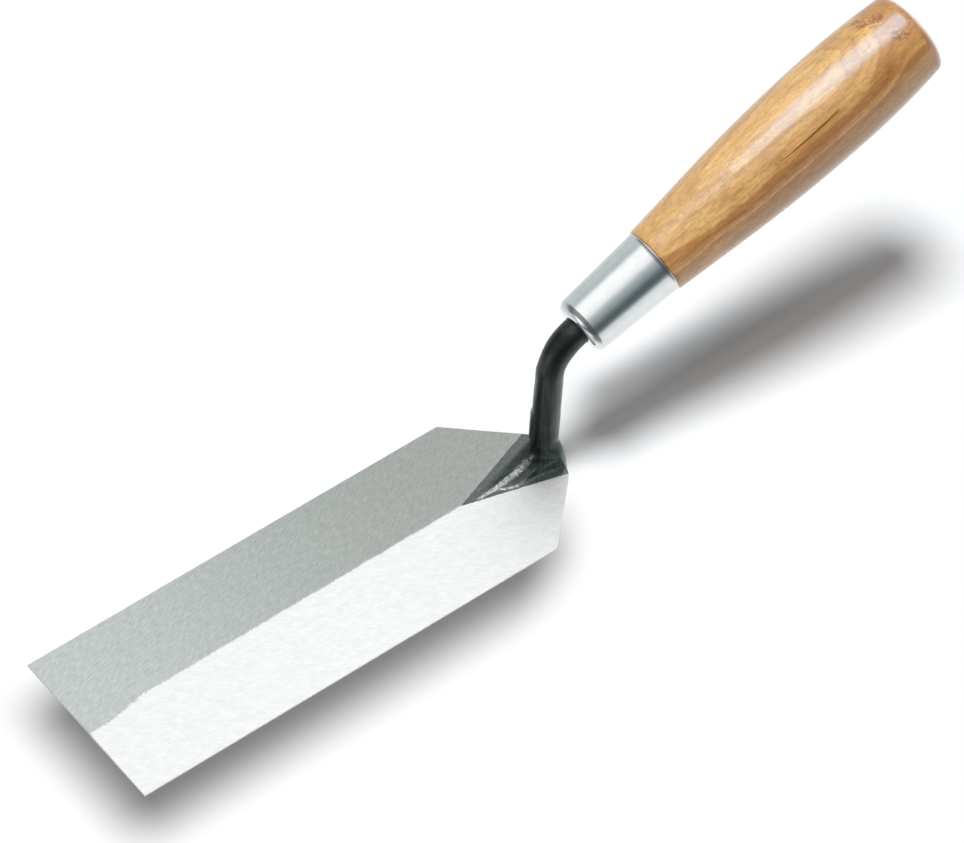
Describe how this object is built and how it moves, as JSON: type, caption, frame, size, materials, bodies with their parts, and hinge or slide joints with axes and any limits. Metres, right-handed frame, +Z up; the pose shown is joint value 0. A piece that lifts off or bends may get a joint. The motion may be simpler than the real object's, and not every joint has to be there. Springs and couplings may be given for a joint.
{
  "type": "margin trowel",
  "caption": "Margin trowel: a narrow rectangular steel blade with clipped rear corners, a bent round shank, a plated steel ferrule and a turned wooden handle.",
  "frame": {"origin": "centre of the rectangular part of the blade's flat underside", "axes": "+X forward to the blade's working edge, +Y to the tool's left, +Z up from the blade, towards the handle"},
  "size_m": [0.2652, 0.0508, 0.0951],
  "materials": {
    "forged_steel": "ground blade, black forge scale on the heel and shank",
    "plated_steel": "bright zinc plate",
    "lacquered_wood": "gloss lacquer",
    "adhesive": "cured filler"
  },
  "bodies": {
    "root": {"forged_blade": "forged_steel", "ferrule": "plated_steel", "handle": "lacquered_wood", "tang_adhesive": "adhesive"}
  },
  "joints": []
}
